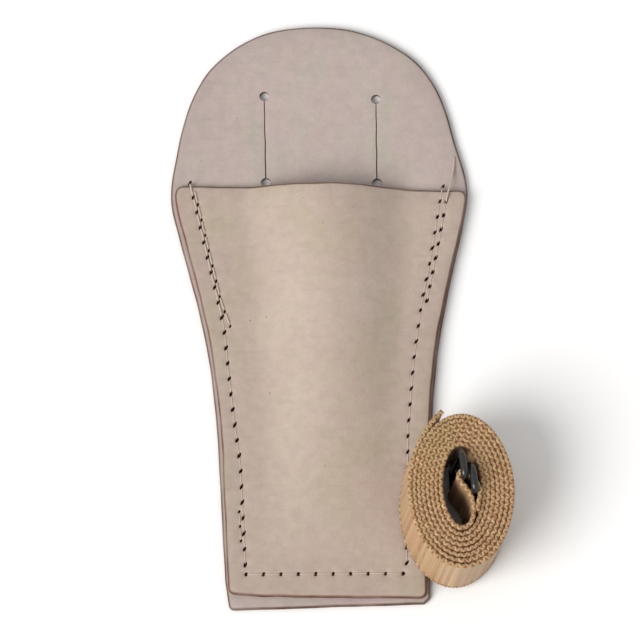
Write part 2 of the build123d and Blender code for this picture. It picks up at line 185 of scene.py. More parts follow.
class Look:
    """A material under construction, with short helpers for its nodes. Sizes are in millimetres."""

    def __init__(self, name, roughness, specular=0.3):
        self.material, self.shader = new_material(name)
        self.nodes, self.links = self.material.node_tree.nodes, self.material.node_tree.links
        self.shader.inputs["Roughness"].default_value = roughness
        self.shader.inputs["Specular IOR Level"].default_value = specular
        self.place = self.nodes.new("ShaderNodeTexCoord").outputs["Object"]

    def feed(self, sockets, values):
        """Give each socket a figure, a colour or a link."""
        for socket, value in zip(sockets, values):
            if isinstance(value, (int, float)):
                socket.default_value = value
            elif isinstance(value, tuple):
                socket.default_value = (*value, 1)
            else:
                self.links.new(value, socket)

    def mark(self, name):
        """A figure that the mesh carries at each vertex."""
        node = self.nodes.new("ShaderNodeAttribute")
        node.attribute_name = name
        return node.outputs["Fac"]

    def stretched(self, factors):
        node = self.nodes.new("ShaderNodeMapping")
        node.inputs["Scale"].default_value = factors
        self.links.new(self.place, node.inputs["Vector"])
        return node.outputs["Vector"]

    def noise(self, size, detail=3.0, roughness=0.55, vector=None):
        """Noise whose features are about this many millimetres across, 0 to 1."""
        node = self.nodes.new("ShaderNodeTexNoise")
        node.inputs["Scale"].default_value = 1 / (size * MM)
        node.inputs["Detail"].default_value = detail
        node.inputs["Roughness"].default_value = roughness
        self.links.new(vector or self.place, node.inputs["Vector"])
        return node.outputs["Fac"]

    def cells(self, size, feature="F1"):
        node = self.nodes.new("ShaderNodeTexVoronoi")
        node.feature = feature
        node.inputs["Scale"].default_value = 1 / (size * MM)
        self.links.new(self.place, node.inputs["Vector"])
        return node.outputs["Distance"]

    def spread(self, value, low, high, start=0.0, end=1.0):
        """Map low..high of a value to start..end, clamped."""
        node = self.nodes.new("ShaderNodeMapRange")
        names = ("Value", "From Min", "From Max", "To Min", "To Max")
        self.feed([node.inputs[name] for name in names], (value, low, high, start, end))
        return node.outputs["Result"]

    def combine(self, operation, a, b):
        """Two figures put together by an operation; either may be a number."""
        node = self.nodes.new("ShaderNodeMath")
        node.operation = operation
        self.feed(node.inputs, (a, b))
        return node.outputs[0]

    def mix(self, share, a, b, kind="MIX"):
        """Blend two colours by a share, which may itself be a socket."""
        node = self.nodes.new("ShaderNodeMix")
        node.data_type = "RGBA"
        node.blend_type = kind
        self.feed([node.inputs[k] for k in (0, 6, 7)], (share, a, b))
        return node.outputs[2]

    def shaded(self, colour, value):
        """The colour times a figure."""
        node = self.nodes.new("ShaderNodeCombineColor")
        self.feed(node.inputs, (value,) * 3)
        return self.mix(1.0, colour, node.outputs[0], "MULTIPLY")

    def finish(self, colour, height, depth, roughness=None):
        """Set the colour, a bump of this depth in millimetres and, if given, a varied roughness."""
        self.links.new(colour, self.shader.inputs["Base Color"])
        bump = self.nodes.new("ShaderNodeBump")
        bump.inputs["Strength"].default_value = 1.0
        bump.inputs["Distance"].default_value = depth * MM
        self.links.new(height, bump.inputs["Height"])
        self.links.new(bump.outputs["Normal"], self.shader.inputs["Normal"])
        if roughness is not None:
            self.links.new(roughness, self.shader.inputs["Roughness"])
        return self.material


def srgb(red, green, blue):
    """A colour given as 0 to 255 display values, in the linear values that shaders use."""
    values = np.array([red, green, blue]) / 255
    return tuple(np.where(values <= 0.04045, values / 12.92, ((values + 0.055) / 1.055) ** 2.4))


# the colour of small dark specks, and painted shade for the walls and lips of the awl holes and slits
SPECK_COLOUR, HOLE_SHADE_COLOUR = srgb(128, 110, 92), srgb(104, 73, 55)


def leather_look(name, main, warm, cool, cut_edge):
    """Undyed leather: cloudy tone, pink and greenish patches, specks, fine grain, dark cut edges,
    darker towards the outline, with a painted highlight over the front's crown and painted shade in
    the stitch holes and slits.
    """
    look = Look(name, 0.62, 0.28)
    clouds = look.spread(look.noise(34, 3.0), 0.36, 0.66)
    colour = look.mix(clouds, main, warm)
    colour = look.mix(look.spread(look.noise(19, 2.0, vector=look.stretched((1.0, 0.8, 1.0))),
                                  0.50, 0.72, 0.0, 0.75), colour, cool)
    mottling = look.spread(look.noise(4.5, 5.0, 0.65), 0.32, 0.68, 0.925, 1.05)
    colour = look.shaded(colour, mottling)
    streaks = look.spread(look.noise(3.2, 2.0, vector=look.stretched((0.16, 1.6, 1.0))),
                          0.56, 0.74, 1.0, 0.95)
    colour = look.shaded(colour, streaks)
    # the tone mark: darker near the outline, and a painted highlight over the front's crown
    colour = look.shaded(colour, look.mark("tone"))
    specks = look.spread(look.cells(8.5), 0.035, 0.085, 0.62, 0.0)
    sparse = look.spread(look.noise(11, 1.0), 0.50, 0.56)
    colour = look.mix(look.combine("MULTIPLY", specks, sparse), colour, SPECK_COLOUR)
    fibres = look.spread(look.noise(0.9, 4.0, 0.7), 0.3, 0.7, 0.80, 1.12)
    edge_colour = look.shaded(cut_edge, fibres)
    stained = look.spread(look.noise(16, 2.0), 0.40, 0.60, 0.75, 1.0)
    colour = look.mix(look.combine("MULTIPLY", look.mark("edge"), stained), colour, edge_colour)
    # painted shade in and round the awl holes and slits
    colour = look.mix(look.mark("pit"), colour, HOLE_SHADE_COLOUR)
    grain = look.combine("ADD", look.spread(look.cells(0.75, "SMOOTH_F1"), 0.0, 0.8, 0.0, 0.6),
                     look.spread(look.noise(0.35, 4.0, 0.7), 0.2, 0.8, 0.0, 0.5))
    roughness = look.spread(look.noise(6, 3.0), 0.3, 0.7, 0.55, 0.72)
    return look.finish(colour, grain, 0.07, roughness)


def thread_look(name, main, shade):
    look = Look(name, 0.5, 0.35)
    ply = look.mark("twist")
    # painted shade: the grooves between the plies take the darker colour
    colour = look.mix(look.spread(ply, 0.1, 0.9), shade, main)
    colour = look.mix(look.spread(look.noise(1.6, 2.0), 0.35, 0.65, 0.0, 0.25), colour, shade)
    return look.finish(colour, look.combine("ADD", ply, look.noise(0.15, 2.0)), 0.05)


def webbing_look(name, light, dark, gap, olive):
    """Woven yarn: raised yarns light, with bands of brown along the strap, and painted shade in the
    gaps between yarns, at the strap's edges between the plies and on the braid's lower yarns.
    """
    look = Look(name, 0.58, 0.3)
    raised, along, edge = look.mark("raised"), look.mark("along"), look.mark("edge")
    line = look.nodes.new("ShaderNodeCombineXYZ")
    look.links.new(along, line.inputs[0])
    bands = look.nodes.new("ShaderNodeTexNoise")
    bands.inputs["Scale"].default_value = 0.35
    bands.inputs["Detail"].default_value = 3
    look.links.new(line.outputs[0], bands.inputs["Vector"])
    colour = look.mix(look.spread(bands.outputs["Fac"], 0.36, 0.64), light, dark)
    colour = look.mix(look.spread(look.noise(17, 2.0), 0.48, 0.68, 0.0, 0.55), colour, olive)
    # painted shade: the gap colour where the weave is low, and wherever the edge mark is set
    colour = look.mix(look.spread(raised, 0.15, 0.70, 0.85, 0.0), colour, gap)
    colour = look.mix(edge, colour, gap)
    fibres = look.spread(look.noise(0.5, 3.0, 0.7), 0.3, 0.7, 0.86, 1.1)
    colour = look.shaded(colour, fibres)
    look.shader.inputs["Sheen Weight"].default_value = 0.15
    look.shader.inputs["Sheen Roughness"].default_value = 0.5
    return look.finish(colour, look.combine("ADD", raised, look.noise(0.22, 3.0, 0.7)), 0.06)


def ring_look():
    """Glossy black coating on steel wire, slightly uneven and worn to grey in places."""
    look = Look("ring_coating", 0.22, 0.5)
    worn = look.spread(look.noise(2.4, 4.0, 0.6), 0.55, 0.75, 0.0, 0.5)
    colour = look.mix(worn, (0.012, 0.012, 0.013), (0.045, 0.044, 0.043))
    roughness = look.spread(look.noise(1.2, 4.0, 0.6), 0.3, 0.7, 0.16, 0.34)
    look.shader.inputs["Coat Weight"].default_value = 0.4
    look.shader.inputs["Coat Roughness"].default_value = 0.12
    return look.finish(colour, look.noise(0.8, 3.0), 0.03, roughness)


# ---- mesh helpers ----
def make_piece(name, vertices, faces, material, marks):
    """A smooth-shaded object from points in millimetres; marks are figures at each vertex."""
    mesh = bpy.data.meshes.new(name)
    mesh.from_pydata((np.asarray(vertices, float) * MM).tolist(), [], faces)
    for mark, values in marks.items():
        attribute = mesh.attributes.new(mark, "FLOAT", "POINT")
        attribute.data.foreach_set("value", np.asarray(values, np.float32))
    mesh.shade_smooth()
    mesh.materials.append(material)
    piece = bpy.data.objects.new(name, mesh)
    scene.collection.objects.link(piece)
    return piece


def stack(parts):
    """Join the vertex and face lists of several closed meshes."""
    vertices, faces, marks, count = [], [], [], 0
    for part_vertices, part_faces, part_marks in parts:
        vertices.append(part_vertices)
        faces += [tuple(i + count for i in face) for face in part_faces]
        marks.append(part_marks)
        count += len(part_vertices)
    return np.concatenate(vertices), faces, {
        key: np.concatenate([m[key] for m in marks]) for key in marks[0]}


def curve_through(points, step):
    """Points about this far apart on a natural cubic curve through the given ones."""
    points = np.array(points, float)
    spans = np.linalg.norm(np.diff(points, axis=0), axis=1)
    knots = np.concatenate([[0], np.cumsum(spans)])
    count = len(points)
    system, right = np.eye(count), np.zeros_like(points)
    for i in range(1, count - 1):
        system[i, i - 1:i + 2] = spans[i - 1], 2 * (spans[i - 1] + spans[i]), spans[i]
        right[i] = 6 * ((points[i + 1] - points[i]) / spans[i]
                        - (points[i] - points[i - 1]) / spans[i - 1])
    bend = np.linalg.solve(system, right)
    where = np.linspace(0, knots[-1], max(2, round(knots[-1] / step) + 1))
    i = np.clip(np.searchsorted(knots, where, side="right") - 1, 0, count - 2)
    span = spans[i][:, None]
    a = (knots[i + 1] - where)[:, None] / span
    b = 1 - a
    return (a * points[i] + b * points[i + 1]
            + ((a ** 3 - a) * bend[i] + (b ** 3 - b) * bend[i + 1]) * span ** 2 / 6)


def arc_lengths(points):
    return np.concatenate([[0], np.cumsum(np.linalg.norm(np.diff(points, axis=0), axis=1))])


def evenly(points, step, closed=False):
    """The same line with its points this far apart."""
    points = np.asarray(points, float)
    if closed:
        points = np.vstack([points, points[:1]])
    reach = arc_lengths(points)
    count = max(2, round(reach[-1] / step))
    where = np.linspace(0, reach[-1], count + 1)
    if closed:
        where = where[:-1]
    return np.column_stack([np.interp(where, reach, points[:, k]) for k in range(points.shape[1])])


def tube(points, radii, sides=8, twist_pitch=1.6, plies=3, ridge=0.10):
    """A closed twisted thread along a line: its radius at each point, ridged like laid plies."""
    points = np.asarray(points, float)
    count = len(points)
    tangents = np.gradient(points, axis=0)
    tangents /= np.linalg.norm(tangents, axis=1)[:, None]
    reach = arc_lengths(points)
    normal = np.cross(tangents[0], (0.3, 0.2, 1.0))
    rings, twists = [], []
    radii = np.broadcast_to(radii, count)
    for i in range(count):
        normal = normal - tangents[i] * (normal @ tangents[i])
        normal /= np.linalg.norm(normal)
        binormal = np.cross(tangents[i], normal)
        angles = np.arange(sides) * 2 * math.pi / sides
        swell = np.cos(plies * (angles - 2 * math.pi * reach[i] / (twist_pitch * plies)))
        reachout = (radii[i] * (1 + ridge * swell))[:, None]
        rings.append(points[i] + reachout * (np.cos(angles)[:, None] * normal
                                             + np.sin(angles)[:, None] * binormal))
        twists.append((1 + swell) / 2)
    faces = [(i * sides + j, i * sides + (j + 1) % sides,
              (i + 1) * sides + (j + 1) % sides, (i + 1) * sides + j)
             for i in range(count - 1) for j in range(sides)]
    faces.append(tuple(range(sides - 1, -1, -1)))
    faces.append(tuple((count - 1) * sides + j for j in range(sides)))
    return np.concatenate(rings), faces, {"twist": np.concatenate(twists)}


# ---- outlines of the sheath ----
def side_half(height):
    """Half width of the back panel from its foot up to the hips."""
    slope = (BEND_START_HALF - FOOT_HALF) / BEND_START
    span = BEND_END - BEND_START
    swell = (BEND_END_HALF - BEND_START_HALF - slope * span) / span ** 2
    above = height - BEND_START
    if height <= BEND_START:
        return FOOT_HALF + slope * height
    if height <= BEND_END:
        return BEND_START_HALF + slope * above + swell * above ** 2
    return BEND_END_HALF + (HIP_START_HALF - BEND_END_HALF) * (height - BEND_END) / (
        HIP_START - BEND_END)


def side_line(side, inset):
    """One side from the foot to just under the hip, moved in by (foot, mouth) insets."""
    growth = (inset[1] - inset[0]) / MOUTH_HEIGHT
    return [(side * (side_half(height) - inset[0] - growth * height), height)
            for height in np.arange(0, SIDE_TOP, SIDE_STEP)]


def panel_loop(inset_left, inset_right):
    """The panel's outline, anticlockwise from its right foot corner."""
    right, left = side_line(1, inset_right), side_line(-1, inset_left)
    crown = [(x - (inset_right[1] if x > 0 else -inset_left[1]), height)
             for x, height in reversed(FLAP)]
    hips = [(HIP_START_HALF - inset_right[1], HIP_START), (inset_left[1] - HIP_START_HALF, HIP_START)]
    top = curve_through([right[-1], hips[0], *crown, hips[1], left[-1]], 1.0)
    return np.vstack([right[:-1], top, left[-2::-1]])


def cut_by(loop, a, b):
    """Keep what lies to the left of the line from a to b."""
    a, b = np.array(a, float), np.array(b, float)
    normal = np.array([a[1] - b[1], b[0] - a[0]])
    distance = (loop - a) @ normal
    kept = []
    for i in range(len(loop)):
        here, after = distance[i - 1], distance[i]
        if (here >= 0) != (after >= 0):
            kept.append(loop[i - 1] + (loop[i] - loop[i - 1]) * here / (here - after))
        if after >= 0:
            kept.append(loop[i])
    return np.array(kept)


def ease_corner(loop, near, reach, bends=6):
    """Round the corner nearest a point, or cut it off straight if bends is 0."""
    corner = int(np.argmin(np.linalg.norm(loop - np.array(near), axis=1)))
    loop = np.roll(loop, -corner, axis=0)
    distance = np.linalg.norm(loop - loop[0], axis=1)
    far = np.nonzero(distance > reach)[0]
    first, last = far[0], far[-1]
    start = loop[0] + (loop[last] - loop[0]) * reach / distance[last]
    end = loop[0] + (loop[first] - loop[0]) * reach / distance[first]
    shares = np.linspace(0, 1, bends + 2)[:, None]
    arc = (1 - shares) ** 2 * start + 2 * shares * (1 - shares) * loop[0] + shares ** 2 * end
    if bends == 0:
        arc = np.array([start, end])
    return np.vstack([arc, loop[first:last + 1]])


def waver(loop, depth, seed):
    """Give a cut line the small unevenness of a knife led by hand."""
    ahead, behind = np.roll(loop, -1, axis=0), np.roll(loop, 1, axis=0)
    run = ahead - behind
    normal = np.column_stack([run[:, 1], -run[:, 0]]) / np.linalg.norm(run, axis=1)[:, None]
    turn = np.arange(len(loop)) * 2 * math.pi / len(loop)
    wave = sum(np.sin(turn * turns + seed * turns) / (1 + 0.04 * turns) for turns in (7, 13, 22, 41))
    return loop + normal * (wave * depth / 2)[:, None]


def stitch_points(corners, pitch):
    """Awl holes at an even spacing close to the pitch."""
    corners = np.array(corners, float)
    reach = arc_lengths(corners)
    count = max(1, round(reach[-1] / pitch))
    where = np.linspace(0, reach[-1], count + 1)
    return np.column_stack([np.interp(where, reach, corners[:, k]) for k in (0, 1)])


# awl holes: half width, half length, direction in degrees
SLANTED, NARROW, ROUND = (0.54, 1.32, 66.0), (0.46, 1.3, 62.0), (0.72, 0.88, 60.0)
SMALL_AT_MOUTH, SMALL_AT_FOOT = (0.36, 0.76, 72.0), (0.36, 0.8, 66.0)
HOLE_WIDTH_RANGE, HOLE_LENGTH_RANGE, HOLE_TURN_RANGE = (0.88, 1.12), (0.85, 1.12), (-9, 9)
ROWS = {
    "left": [(stitch_points(LEFT_SEAM, STITCH_PITCH), SLANTED),
             (stitch_points(LEFT_BACKTACK, STITCH_PITCH), SMALL_AT_MOUTH),
             (stitch_points(LEFT_FOOT_BACKTACK, STITCH_PITCH), SMALL_AT_FOOT)],
    "right": [(stitch_points(RIGHT_SEAM, STITCH_PITCH), NARROW),
              (stitch_points(RIGHT_BACKTACK, STITCH_PITCH), SLANTED)],
    "bottom": [(stitch_points(FOOT_SEAM, FOOT_STITCH_PITCH), ROUND)],
}


def awl_holes():
    """Every stitch hole as (centre, half width, half length, direction), a little uneven."""
    holes = []
    for rows in ROWS.values():
        for points, (width, length, lean) in rows:
            for point in points:
                holes.append((point, width * rng.uniform(*HOLE_WIDTH_RANGE),
                              length * rng.uniform(*HOLE_LENGTH_RANGE),
                              math.radians(lean + rng.uniform(*HOLE_TURN_RANGE))))
    return holes


def hole_loop(hole, count=14):
    """A stitch hole's rim, clockwise, as the leather runs round its outside."""
    centre, width, length, lean = hole
    turn = -np.arange(count) * 2 * math.pi / count
    along, across = np.cos(turn) * length, np.sin(turn) * width
    return centre + np.column_stack([along * math.cos(lean) - across * math.sin(lean),
                                     along * math.sin(lean) + across * math.cos(lean)])


def slit_loop(low, high, seed):
    """A belt slit with its two stop holes as one clockwise rim; the cut widens to the pocket."""
    low, high = np.array(low, float), np.array(high, float)
    radius = STOP_HOLE / 2
    axis = (high - low) / np.linalg.norm(high - low)
    side = np.array([axis[1], -axis[0]])
    gap_low, gap_high = SLIT_GAPS
    steps = np.linspace(0, 1, SLIT_STEPS)
    length = np.linalg.norm(high - low)
    jag = SLIT_JAG * np.sin(steps * 17 + seed) * np.sin(steps * math.pi)

    def round_hole(centre, gap, first, facing):
        open_angle = math.asin(gap / radius)
        turn = np.linspace(open_angle, 2 * math.pi - open_angle, STOP_HOLE_STEPS)
        return [centre + radius * (facing * np.cos(t) * axis + first * np.sin(t) * side)
                for t in turn]

    inner = length - 2 * radius

    def flank(sign):
        return [low + axis * (radius + inner * s)
                + sign * side * (gap_low + (gap_high - gap_low) * s + sign * j)
                for s, j in zip(steps[1:-1], jag[1:-1])]

    bottom = round_hole(low, gap_low, 1, 1)
    top = round_hole(high, gap_high, -1, -1)
    return np.array(flank(1)[::-1] + bottom + flank(-1) + top)


# ---- leather panels ----
HOLES = awl_holes()
HOLE_CENTRES = np.array([hole[0] for hole in HOLES])
SEAM_LEGS = np.array([(a, b) for rows in ROWS.values() for points, _ in rows
                      for a, b in zip(points, points[1:])])


def to_seams(points):
    """Distance of each point to the nearest stitch."""
    a, b = SEAM_LEGS[:, 0], SEAM_LEGS[:, 1]
    run = b - a
    share = np.clip(((points[:, None] - a) * run).sum(2) / (run ** 2).sum(1), 0, 1)
    return np.linalg.norm(points[:, None] - (a + run * share[..., None]), axis=2).min(1)


def bell(points):
    """Rise of the moulded pocket at points (x, height)."""
    share = np.clip((points[:, 1] - BELL_FOOT) / (MOUTH_LEFT + 3 - BELL_FOOT), 0, 1)
    reach = BELL_HALF_WIDTH_AT_FOOT + (
        BELL_HALF_WIDTH_AT_MOUTH - BELL_HALF_WIDTH_AT_FOOT) * share ** 2
    out = np.clip(np.abs(points[:, 0] - BELL_CENTRE) / reach, 0, 1)
    near = np.clip(out * 2, 0, 1)
    inner = 1 - 0.4 * near ** 2 * (3 - 2 * near) - 0.75 * near ** 2 * (near - 1)
    far = np.clip(out * 2 - 1, 0, 1)
    outer = 0.6 * (1 - far ** 2 * (3 - 2 * far)) - 0.75 * far * (far - 1) ** 2
    profile = np.where(out < 0.5, inner, outer)
    return BELL_RISE * np.sin(share * math.pi / 2) * profile


def swell(points, size, depth, seed):
    """Slow unevenness of hide, from a few crossed waves."""
    x, y = points[:, 0] / size, points[:, 1] / size
    total = (np.sin(x * 1.9 + seed) * np.cos(y * 1.3 - seed) + np.sin(x * 0.8 - y * 2.1 + 2 * seed)
             + 0.6 * np.cos(x * 3.1 + y * 0.9 + 3 * seed))
    return depth * total / 2.6


HOLE_PULL, STITCH_PULL = 1.7, 0.55    # how far a hole and a stitch pull the leather in


def pressed(points, stitch_depth, hole_depth):
    """How far stitches and awl holes pull the surface down."""
    return (hole_depth * np.exp(-(nearest(points, HOLE_CENTRES) / HOLE_PULL) ** 2)
            + stitch_depth * np.exp(-(to_seams(points) / STITCH_PULL) ** 2))


def nearest(points, others):
    """Distance of each point to the nearest of the others, worked out in blocks."""
    return np.concatenate([np.linalg.norm(block[:, None] - others, axis=2).min(1)
                           for block in np.array_split(points, 24)])


def inside(points, loop):
    """Which points lie inside a closed loop."""
    a, b = loop, np.roll(loop, -1, axis=0)
    x, y = points[:, 0][:, None], points[:, 1][:, None]
    crosses = (a[:, 1] > y) != (b[:, 1] > y)
    rise = np.where(np.abs(b[:, 1] - a[:, 1]) < 1e-12, 1e-12, b[:, 1] - a[:, 1])
    return (crosses & (x < a[:, 0] + (y - a[:, 1]) * (b[:, 0] - a[:, 0]) / rise)).sum(1) % 2 == 1


def inward(loop, distance):
    """The loop moved into the leather; outlines run anticlockwise and rims clockwise."""
    run = np.roll(loop, -1, axis=0) - np.roll(loop, 1, axis=0)
    normal = np.column_stack([-run[:, 1], run[:, 0]]) / np.linalg.norm(run, axis=1)[:, None]
    return loop + normal * distance


def clear_of_rims(points, triangles, rings):
    """The triangles inside the first ring and outside the rims; one across a rim has all its
    corners on that rim."""
    owner = np.full(len(points), -1)
    start = 0
    for number, ring in enumerate(rings):
        owner[start:start + len(ring)] = number
        start += len(ring)
    corners = np.array([tuple(triangle) for triangle in triangles])
    middles = points[corners].mean(axis=1)
    owners = owner[corners]
    on_one = (owners[:, 0] >= 0) & (owners[:, 0] == owners[:, 1]) & (owners[:, 1] == owners[:, 2])
    kept = np.ones(len(corners), bool)
    for number, ring in enumerate(rings):
        across = np.nonzero(on_one & (owners[:, 0] == number))[0]
        if len(across):
            kept[across] = inside(middles[across], ring) == (number == 0)
    return corners[kept].tolist()


RIM_REACH, RIM_SHADE = 9.0, 0.10   # the leather is darker near its cut edge
CROWN_HIGHLIGHT, CROWN_POWER = 0.08, 1.1    # and painted paler over the moulded crown: a painted highlight, partly the paleness of stretched leather
COARSE_GRID, SEAM_GRID = 2.2, 0.62      # spacing of the points of a face, away from seams and near
SEAM_GRID_REACH, COARSE_GRID_START = 2.9, 3.4
RIM_CLEARANCE = 0.45                    # share of the spacing kept free along each cut
# cut edges, from the cut inwards: (distance from the cut, drop below the face, stain; on holes and
# slits this is painted shade)
OUTLINE_LIP = [(0.0, 0.95, 1.0), (0.26, 0.45, 1.0), (0.60, 0.13, 0.75), (1.05, 0.0, 0.0)]
SLIT_LIP = [(0.0, 0.30, 0.9), (0.06, 0.12, 0.35), (0.18, 0.03, 0.0), (0.40, 0.0, 0.0)]
AWL_LIP = [(0.0, 0.42, 1.0), (0.06, 0.22, 0.95), (0.14, 0.07, 0.6), (0.26, 0.0, 0.0)]


def no_crown(points):
    return np.zeros(len(points))


def painted_crown_highlight(points):
    """Painted highlight on the front panel where its swelling is high, partly the paleness of
    stretched leather.
    """
    return CROWN_HIGHLIGHT * (bell(points) / BELL_RISE) ** CROWN_POWER


def leather_panel(name, outline, rims, surfaces, material, crown_highlight=no_crown):
    """A sheet of leather: flat middle from a triangulation, and rounded cut edges round each loop.

    rims is a list of (loop, lip); surfaces gives the heights of the lower and upper face;
    the last argument gives the painted highlight added to the brightness at points (x, height)."""
    loops = [(outline, OUTLINE_LIP)] + rims
    rings = [[inward(loop, reach) for reach, _, _ in lip] for loop, lip in loops]
    inner = [ring[-1] for ring in rings]
    low, high = outline.min(0), outline.max(0)
    grid = []
    for spacing, near_seam in ((COARSE_GRID, False), (SEAM_GRID, True)):
        x, y = np.meshgrid(np.arange(low[0], high[0], spacing), np.arange(low[1], high[1], spacing))
        x[1::2] += spacing / 2
        points = np.column_stack([x.ravel(), y.ravel()])
        points = points[inside(points, inner[0])]
        seam = to_seams(points)
        points = points[seam < SEAM_GRID_REACH if near_seam else seam > COARSE_GRID_START]
        for ring in inner:
            points = points[nearest(points, ring) > RIM_CLEARANCE * spacing]
        for ring in inner[1:]:
            points = points[~inside(points, ring)]
        grid.append(points)
    seeds = np.vstack(inner + grid)
    edges, start = [], 0
    for ring in inner:
        edges += [(start + i, start + (i + 1) % len(ring)) for i in range(len(ring))]
        start += len(ring)
    flat, _, triangles, _, _, _ = delaunay_2d_cdt(
        [Vector(p) for p in seeds.tolist()], edges, [], 4, 1e-6)
    assert len(flat) == len(seeds), f"{name}: loops cross, {len(flat)} points from {len(seeds)}"
    triangles = clear_of_rims(seeds, triangles, inner)
    vertices, faces, edge_mark, hole_shade_mark = [], [], [], []
    lower, upper = surfaces
    count = 0
    starts = {}
    for face_name, height, sign in (("top", upper, -1), ("bottom", lower, 1)):
        level = height(seeds)
        vertices.append(np.column_stack([seeds[:, 0], seeds[:, 1] - HALF_LENGTH, level]))
        edge_mark.append(np.zeros(len(seeds)))
        hole_shade_mark.append(np.zeros(len(seeds)))
        base = count
        order = (0, 1, 2) if sign < 0 else (2, 1, 0)
        faces += [tuple(base + t[k] for k in order) for t in triangles]
        count += len(seeds)
        start = base
        for loop_number, (ring_set, (loop, lip)) in enumerate(zip(rings, loops)):
            size = len(loop)
            inner_start = start
            start += size
            previous = inner_start
            for step in range(len(lip) - 2, -1, -1):
                ring = ring_set[step]
                _, drop, stain = lip[step]
                level = height(ring) + sign * (drop if sign < 0 else drop / 2)
                vertices.append(np.column_stack([ring[:, 0], ring[:, 1] - HALF_LENGTH, level]))
                # the outline's lips get the dark cut-edge stain; the lips of holes and slits get
                # painted shade
                edge_mark.append(np.full(size, stain if loop_number == 0 else 0.0))
                hole_shade_mark.append(np.full(size, 0.0 if loop_number == 0 else stain))
                for i in range(size):
                    j = (i + 1) % size
                    quad = (count + i, count + j, previous + j, previous + i)
                    faces.append(quad if sign < 0 else quad[::-1])
                previous = count
                count += size
            starts[(face_name, loop_number)] = previous
    for loop_number, (loop, lip) in enumerate(loops):
        size = len(loop)
        top, bottom = starts[("top", loop_number)], starts[("bottom", loop_number)]
        for i in range(size):
            j = (i + 1) % size
            faces.append((bottom + i, bottom + j, top + j, top + i))
    vertices = np.vstack(vertices)
    flat = vertices[:, :2] + (0, HALF_LENGTH)
    to_rim = nearest(flat, outline)
    # tone: darker near the outline, plus the painted highlight over the crown
    return make_piece(name, vertices, faces, material,
                      {"edge": np.concatenate(edge_mark), "pit": np.concatenate(hole_shade_mark),
                       "tone": 1 - RIM_SHADE * np.exp(-to_rim / RIM_REACH) + crown_highlight(flat)})


def thickness(points, seed):
    return LEATHER + swell(points, 26, 0.10, seed)


CURL_START, CURL_RUN, CURL_RISE = 236, 33, 0.5
PLY_GAP = 0.03                    # between the two panels
BACK_HOLE_PULL, FRONT_HOLE_PULL, FRONT_STITCH_PULL = 0.25, 0.34, 0.06
BACK_SEED, FRONT_SEED = 1.3, 4.1


def curl(points):
    """The flap's rim curls up a little from the table."""
    return np.clip((points[:, 1] - CURL_START) / CURL_RUN, 0, 1) ** 2 * CURL_RISE


def back_lower(points):
    return curl(points) + pressed(points, 0.0, BACK_HOLE_PULL) * 0.6


def back_upper(points):
    return curl(points) + thickness(points, BACK_SEED)


def front_lower(points):
    return back_upper(points) + PLY_GAP + bell(points)


def front_upper(points):
    return (front_lower(points) + thickness(points, FRONT_SEED)
            - pressed(points, FRONT_STITCH_PULL, FRONT_HOLE_PULL))


RUN_IN, RUN_IN_HEIGHT = 1.3, 13
BACK_CORNER_LEFT, BACK_CORNER_RIGHT = 2.4, 2.6
MOUTH_CORNER, FRONT_CORNER_LEFT, FRONT_CORNER_RIGHT = 4.2, 3.0, 3.6
BACK_WAVER, FRONT_WAVER = 0.16, 0.26
OUTLINE_STEP = 1.0
COVERED_INSET = 1.9               # awl holes nearer than this to the pocket's edge miss it


def run_in_at_foot(loop):
    """The left side of the back panel runs in a little over its last stretch above the foot."""
    share = np.clip(1 - loop[:, 1] / RUN_IN_HEIGHT, 0, 1) * (loop[:, 0] < 0)
    return loop + np.column_stack([RUN_IN * share, np.zeros(len(loop))])


def build_sheath(back_material, front_material):
    back = run_in_at_foot(panel_loop((0, 0), (0, 0)))
    back = ease_corner(back, back[np.argmin(back.sum(axis=1))], BACK_CORNER_LEFT)
    back = ease_corner(back, (FOOT_HALF, 0), BACK_CORNER_RIGHT, bends=0)
    back = waver(evenly(back, OUTLINE_STEP, closed=True), BACK_WAVER, 1.7)
    slits = [slit_loop(low, high, seed) for (low, high), seed in zip(SLITS, (0.4, 2.2))]
    rims = [(hole_loop(hole), AWL_LIP) for hole in HOLES] + [(slit, SLIT_LIP) for slit in slits]
    back_panel = leather_panel("back_leather", back, rims, (back_lower, back_upper), back_material)
    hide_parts("back_panel")

    front = panel_loop(POCKET_INSET_LEFT, POCKET_INSET_RIGHT)
    slope = (MOUTH_RIGHT - MOUTH_LEFT) / (2 * HIP_START_HALF)
    middle = (MOUTH_LEFT + MOUTH_RIGHT) / 2
    front = cut_by(front, (80, middle + slope * 80), (-80, middle - slope * 80))
    for a, b in zip(POCKET_FOOT, POCKET_FOOT[1:]):
        front = cut_by(front, a, b)
    for corner, reach in (((-HIP_START_HALF, MOUTH_LEFT), MOUTH_CORNER),
                          ((HIP_START_HALF, MOUTH_RIGHT), MOUTH_CORNER),
                          ((-FOOT_HALF, POCKET_FOOT[0][1]), FRONT_CORNER_LEFT),
                          ((FOOT_HALF, POCKET_FOOT[-1][1]), FRONT_CORNER_RIGHT)):
        front = ease_corner(front, corner, reach)
    front = waver(evenly(front, OUTLINE_STEP, closed=True), FRONT_WAVER, 4.9)
    covered = inside(HOLE_CENTRES, inward(front, COVERED_INSET))
    rims = [(hole_loop(hole), AWL_LIP) for hole, kept in zip(HOLES, covered) if kept]
    front_panel = leather_panel("front_leather", front, rims, (front_lower, front_upper),
                                front_material, painted_crown_highlight)
    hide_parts("front_panel")
    for panel in (back_panel, front_panel):
        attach(panel, "sheath")


# ---- seams ----
THREAD_RADIUS, BOLD_RADIUS = 0.28, 0.44
SLANTED_ENTRY, ROUND_ENTRY = 0.95, 0.55   # where a stitch goes down, from the hole's middle
BOLD_ABOVE, BOLD_RISE = 128, 0.18    # above this height the left seam's thread stands proud
BACK_STITCH_RISE = -0.42          # the stitches on the back lie sunk in the leather
BURY = 1.4                        # how deep a stitch goes into its holes
STITCH_SWAY = 0.12


